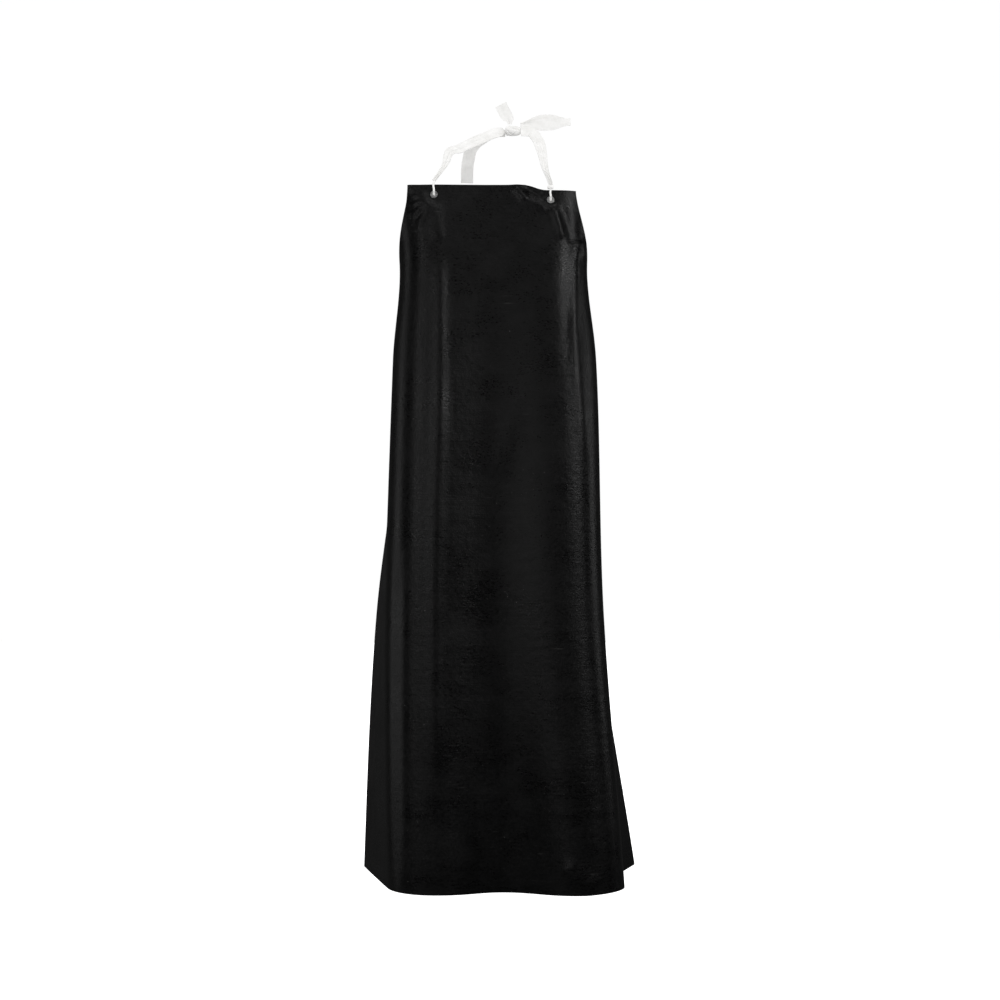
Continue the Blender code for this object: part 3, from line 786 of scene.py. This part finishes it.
def lump(name, centre, sizes, ridges, depth, twist, material, body, node):
    """A drawn-tight knot of tape: a round form creased by turns of tape that wind round it."""
    around, along = 96, 64
    verts, pattern, faces = [], [], []
    for row in range(1, along):
        tilt = math.pi * row / along
        for step in range(around):
            turn = math.tau * step / around
            wind = ridges * turn + twist * tilt
            crease = 1.0 - abs(math.sin(wind / 2 + 0.5 * math.sin(3 * tilt)))
            second = 1.0 - abs(math.sin(1.5 * turn - 2.4 * tilt + 0.7))
            swell = 1.0 - depth * crease ** 3 - 0.6 * depth * second ** 4
            reach = swell * (0.90 + 0.10 * math.sin(2 * turn + tilt))
            girth = math.sin(tilt) ** BOXINESS * reach / 2
            verts.append(centre + Vector((sizes[0] / 2 * math.cos(tilt) * (0.96 + 0.04 * swell),
                                          sizes[1] * girth * math.cos(turn),
                                          sizes[2] * girth * math.sin(turn))))
            pattern.append((turn * sizes[1] / 2, tilt * sizes[0] / 2, 0.0))
    for row in range(along - 2):
        for step in range(around):
            there = (step + 1) % around
            faces.append((row * around + step, (row + 1) * around + step,
                          (row + 1) * around + there, row * around + there))
    faces.append(tuple(range(around)))
    faces.append(tuple(reversed(range((along - 2) * around, (along - 1) * around))))
    piece = add_piece(name, verts, faces, pattern, material, body, node, smooth=80)
    turn_outwards(piece)
    return piece


def turn_outwards(piece):
    bm = bmesh.new()
    bm.from_mesh(piece.data)
    bmesh.ops.recalc_face_normals(bm, faces=bm.faces)
    bm.to_mesh(piece.data)
    bm.free()


def centreline(node, stations):
    """Middles of a CAD strand's rings of points, along its longest path from the top down."""
    points = np.array([v.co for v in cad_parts[node].data.vertices])
    start = points[points[:, 2] > points[:, 2].max() - 0.0008].mean(axis=0)
    order = np.argsort(np.linalg.norm(points - start, axis=1))
    groups = np.array_split(points[order], stations)
    return [Vector(group.mean(axis=0)) for group in groups]


def twisted_strand(name, route, diameter, turns, material, body, node):
    """Tape rolled into a strand, with the helical grooves of its folds."""
    around = 28
    verts, pattern, faces = [], [], []
    travelled = 0.0
    normal = Vector((0.0, 1.0, 0.0))
    for index, place in enumerate(route):
        if index:
            travelled += (place - route[index - 1]).length
        along = (route[min(index + 1, len(route) - 1)] - route[max(index - 1, 0)]).normalized()
        normal = (normal - along * normal.dot(along)).normalized()
        side = along.cross(normal)
        for step in range(around):
            turn = math.tau * step / around
            groove = 1.0 - abs(math.sin(1.5 * turn + turns * math.tau * index / len(route)))
            reach = diameter / 2 * (1.0 - 0.22 * groove ** 2)
            verts.append(place + (normal * math.cos(turn) + side * math.sin(turn)) * reach)
            pattern.append((turn * diameter / 2, travelled, 0.0))
    for index in range(len(route) - 1):
        for step in range(around):
            there = (step + 1) % around
            faces.append((index * around + step, index * around + there,
                          (index + 1) * around + there, (index + 1) * around + step))
    faces.append(tuple(reversed(range(around))))
    faces.append(tuple(range((len(route) - 1) * around, len(route) * around)))
    piece = add_piece(name, verts, faces, pattern, material, body, node)
    turn_outwards(piece)
    return piece


# Lights, floor and backdrop

def area_light(name, place, aim, size, energy):
    light = bpy.data.lights.new(name, "AREA")
    light.shape = "RECTANGLE"
    light.size, light.size_y = size
    light.energy = energy
    piece = bpy.data.objects.new(name, light)
    piece.location = place
    piece.rotation_euler = (Vector(aim) - Vector(place)).to_track_quat("-Z", "Y").to_euler()
    bpy.context.scene.collection.objects.link(piece)


def make_studio():
    """Soft lights, a white backdrop and a plain pale floor."""
    for name, place, aim, size, energy in LIGHTS:
        area_light(name, place, aim, size, energy)
    world = bpy.data.worlds.new("studio")
    bpy.context.scene.world = world
    world.use_nodes = True
    tree = world.node_tree
    background = tree.nodes["Background"]
    background.inputs["Color"].default_value = (1.0, 1.0, 1.0, 1.0)
    rays = tree.nodes.new("ShaderNodeLightPath").outputs
    fill = maths(tree, "MULTIPLY", rays["Is Diffuse Ray"], WORLD_FILL)
    strength = maths(tree, "ADD", maths(tree, "MULTIPLY", rays["Is Camera Ray"], WORLD_BACKDROP), fill)
    strength = maths(tree, "ADD", strength, WORLD_BASE)
    tree.links.new(strength, background.inputs["Strength"])
    bm = bmesh.new()
    corners = ((-1, -1), (1, -1), (1, 1), (-1, 1))
    bm.faces.new([bm.verts.new((x * FLOOR_HALF, y * FLOOR_HALF, FLOOR_HEIGHT)) for x, y in corners])
    bmesh.ops.subdivide_edges(bm, edges=bm.edges, cuts=6, use_grid_fill=True)
    mesh = bpy.data.meshes.new("floor")
    bm.to_mesh(mesh)
    bm.free()
    material, tree, shader = new_material("pale floor")
    place = tree.nodes.new("ShaderNodeTexCoord").outputs["Object"]
    tone = mixed(tree, noise(tree, place, 3.0), (0.90, 0.90, 0.90, 1.0), (0.94, 0.94, 0.94, 1.0))
    tree.links.new(tone, shader.inputs["Base Color"])
    tree.links.new(tone, shader.inputs["Emission Color"])
    shader.inputs["Emission Strength"].default_value = 1.1
    shader.inputs["Roughness"].default_value = 0.9
    mesh.materials.append(material)
    floor = bpy.data.objects.new("floor", mesh)
    floor.visible_glossy = False
    floor.visible_diffuse = False
    bpy.context.scene.collection.objects.link(floor)


def settle_colours():
    view = bpy.context.scene.view_settings
    view.view_transform = "Standard"
    view.look = "None"


# The tie, as in the CAD
KNOT_LEFT = 0.023
KNOT_RIGHT = 0.049
KNOT_CENTRE = Vector((0.036, 0.015, 0.010))
TIE_LIFT = Vector((0.12, 0.40, 0.91)).normalized()
TIE_GAP = 0.0003
STRAND_TOP = 0.003
LEFT_BAND_LIFT = 0.0028
RIGHT_BAND_LIFT = 0.0051
KNOT_SIZE = (0.0275, 0.0190, 0.0230)
LOOP_ROOT = Vector((0.0498, 0.0225, 0.026))
LOOP_LENGTH = 0.0905
UPRIGHT_ROOT = Vector((0.030, 0.012, 0.0218))
HANGING_ROOT = Vector((KNOT_LEFT - 0.0008, 0.022, 0.004))


def opened(open_by):
    """The tape's width where it's partly gathered: 0 is gathered and 1 is flat."""
    return GATHERED_WIDTH + (TAPE_WIDTH - GATHERED_WIDTH) * open_by


def hinge_end(strand, gap):
    """Where a neck band leaves the strand that comes up through its eyelet."""
    points = np.array([v.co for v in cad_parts[strand].data.vertices])
    top = points[points[:, 2] > points[:, 2].max() - STRAND_TOP]
    return Vector(top.mean(axis=0)) + TIE_LIFT * gap


def make_ties(material):
    left_start = hinge_end("strand_left", LEFT_BAND_LIFT)
    right_low, right_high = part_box("front_knot_right")
    right_start = (right_low + right_high) / 2 + TIE_LIFT * RIGHT_BAND_LIFT
    left = smooth_route([left_start, (-0.083, -0.087, -0.070), (-0.075, -0.065, -0.043),
                         (-0.060, -0.045, -0.034), (-0.0195, -0.008, -0.008), (0.016, 0.012, 0.008),
                         (KNOT_LEFT - TIE_GAP, 0.012, 0.008)], 12)
    right = smooth_route([right_start, (0.092, -0.060, -0.070), (0.086, -0.022, -0.030),
                          (0.079, 0.002, -0.006), (0.069, 0.010, 0.007), (0.056, 0.010, 0.009),
                          (KNOT_RIGHT + TIE_GAP, 0.010, 0.009)], 12)
    bands = []
    for side, route, facing in (("left", left, (-0.2, -1.0, 0.3)), ("right", right, (0.3, -1.0, 0.5))):
        share = np.linspace(0.0, 1.0, len(route))
        at_knot = 0.25 if side == "left" else 0.05
        open_by = np.minimum(ease(share / 0.45), ease((1 - share) / at_knot))
        pleats = 0.0012 * (1 - open_by) ** 2 + 0.00055
        band = tape("neck_tape_" + side, tape_frames(route, facing), opened(open_by), pleats, material,
                    "neck_tie", "neck_band_" + side, columns=30, folds=2.3)
        bands.append((band, route))
    return bands


def make_bow(material):
    """The knot, its one loop and the tape's two ends."""
    knot = lump("knot_of_bow", KNOT_CENTRE, KNOT_SIZE, 5, 0.26, 3.5, material, "neck_tie", "bow_knot")
    root = LOOP_ROOT
    half = 0.0006
    loop = smooth_route([root - Vector((0, half, 0)), root + Vector((0.020, -0.003, 0.0)),
                         root + Vector((0.055, -0.006, 0.0)), root + Vector((0.084, -0.004, 0.0)),
                         root + Vector((LOOP_LENGTH, 0.0015, 0.0)), root + Vector((0.084, 0.007, 0.0)),
                         root + Vector((0.055, 0.009, 0.0)), root + Vector((0.020, 0.005, 0.0)),
                         root + Vector((0, half, 0))], 10)
    reach = np.clip(np.array([(place - root).length for place in loop]) / LOOP_LENGTH, 0.0, 1.0)
    open_by = ease(reach / 0.50) * (1.0 - 0.62 * ease((reach - 0.62) / 0.38))
    pleats = 0.0002 + 0.0007 * (1.0 - ease(reach / 0.45))
    turned_back = np.linspace(-1.0, 1.0, len(loop))
    spread = 0.0052 * np.tanh(4.0 * turned_back) * np.sin(math.pi * np.clip(reach, 0.0, 1.0)) ** 0.8
    lift = -0.0035 * (1.0 - ease(reach / 0.35)) + 0.0020 * reach + spread
    frames = [(place + Vector((0.0, 0.0, float(up))), across, outward)
              for (place, across, outward), up in zip(tape_frames(loop, None, (0.0, 0.0, 1.0)), lift)]
    bow = tape("loop_of_bow", frames, opened(open_by), pleats, material, "bow_loop", "bow_loop", folds=1.1)
    root = UPRIGHT_ROOT
    route = smooth_route([root, root + Vector((0.0, 0.0, 0.006)), root + Vector((-0.007, 0.001, 0.018)),
                          root + Vector((-0.016, -0.001, 0.035))], 12)
    upright = tail("upright_end", route, material, "upright_tail", "upright_tail", (0.0, 0.65))
    root = HANGING_ROOT
    route = smooth_route([root, root - Vector((0.008, 0.0, 0.0)), (-0.012, 0.022, -0.002),
                          (-0.036, 0.022, -0.016), (-0.045, 0.022, -0.045), (-0.047, 0.022, -0.083)], 12)
    hanging = tail("hanging_end", route, material, "hanging_tail", "hanging_tail", (0.22, 0.62))
    return knot, bow, upright, hanging


def tail(name, route, material, body, node, opening):
    """A loose end of tape, gathered at the knot."""
    share = np.linspace(0.0, 1.0, len(route))
    open_by = ease((share - opening[0]) / (opening[1] - opening[0]))
    pleats = 0.0008 * (1 - open_by) + 0.0003
    frames = tape_frames(route, (0.0, -1.0, 0.0))
    return tape(name, frames, opened(open_by), pleats, material, body, node)


def small_knot(name, node, depth, twist, material):
    """A knot that fills the box of its CAD node."""
    low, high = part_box(node)
    return lump(name, (low + high) / 2, high - low, 4, depth, twist, material, "apron", node)


def make_small_knots(material):
    """The strands through the neck eyelets and the knots that stop them."""
    made = []
    for side in ("left", "right"):
        route = centreline("strand_" + side, 14)
        hole = eyelet_seat("neck_" + side)[0][2]
        for place in route:
            place.z += IN_HOLE_RISE * float(ease((hole + 0.006 - place.z) / 0.004))
        made.append(twisted_strand("eyelet_strand_" + side, route, STRAND_DIAMETER, 1.6, material,
                                   "apron", "strand_" + side))
        made.append(small_knot("stopper_" + side, "stopper_knot_" + side, 0.22, 3.0, material))
    made.append(small_knot("small_knot_right", "front_knot_right", 0.24, 3.2, material))
    return made


def finish_eyelets(groups):
    bright = plated_steel("bright eyelet", groups, (0.96, 0.96, 0.95, 1.0), 0.22)
    dull = plated_steel("dull washer", groups, (0.66, 0.66, 0.64, 1.0), 0.30)
    for place in eyelet_places():
        for piece, material in (("grommet_", bright), ("washer_", dull)):
            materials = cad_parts[piece + place].data.materials
            materials.clear()
            materials.append(material)


def main():
    make_camera()
    groups = {"calender": calender_group(), "dust": dust_group(), "weave": weave_group()}
    white = cotton("white cotton tape", groups, (0.90, 0.895, 0.885, 1.0), (0.78, 0.775, 0.755, 1.0))
    bands = make_ties(white)
    front = rubber("front rubber", groups, (0.0002, 0.0002, 0.0003, 1.0), (0.0036, 0.0036, 0.0038, 1.0),
                   (0.27, 0.45), 0.34, 1.0)
    back = rubber("back rubber", groups, (0.0060, 0.0060, 0.0065, 1.0), (0.0120, 0.0120, 0.0125, 1.0),
                  (0.44, 0.58), 1.0, 0.6)
    lead = rubber("lead rubber", groups, (0.045, 0.046, 0.050, 1.0), (0.070, 0.072, 0.076, 1.0),
                  (0.55, 0.68), 0.5, 0.4)
    flat, faces = flat_mesh()
    skin_offset = CORE_THICKNESS / 2 + PLY_GAP + SKIN_THICKNESS / 2
    sheet = make_ply("rubber_front", flat, faces, skin_offset, SKIN_THICKNESS, front, "front_skin")
    core = make_ply("lead_layer", flat, faces, 0.0, CORE_THICKNESS, lead, "shielding_core")
    rear = make_ply("rubber_back", flat, faces, -skin_offset, SKIN_THICKNESS, back, "back_skin")
    finish_eyelets(groups)
    tie_pieces = list(make_bow(white)) + make_small_knots(white)
    make_studio()
    settle_colours()


main()
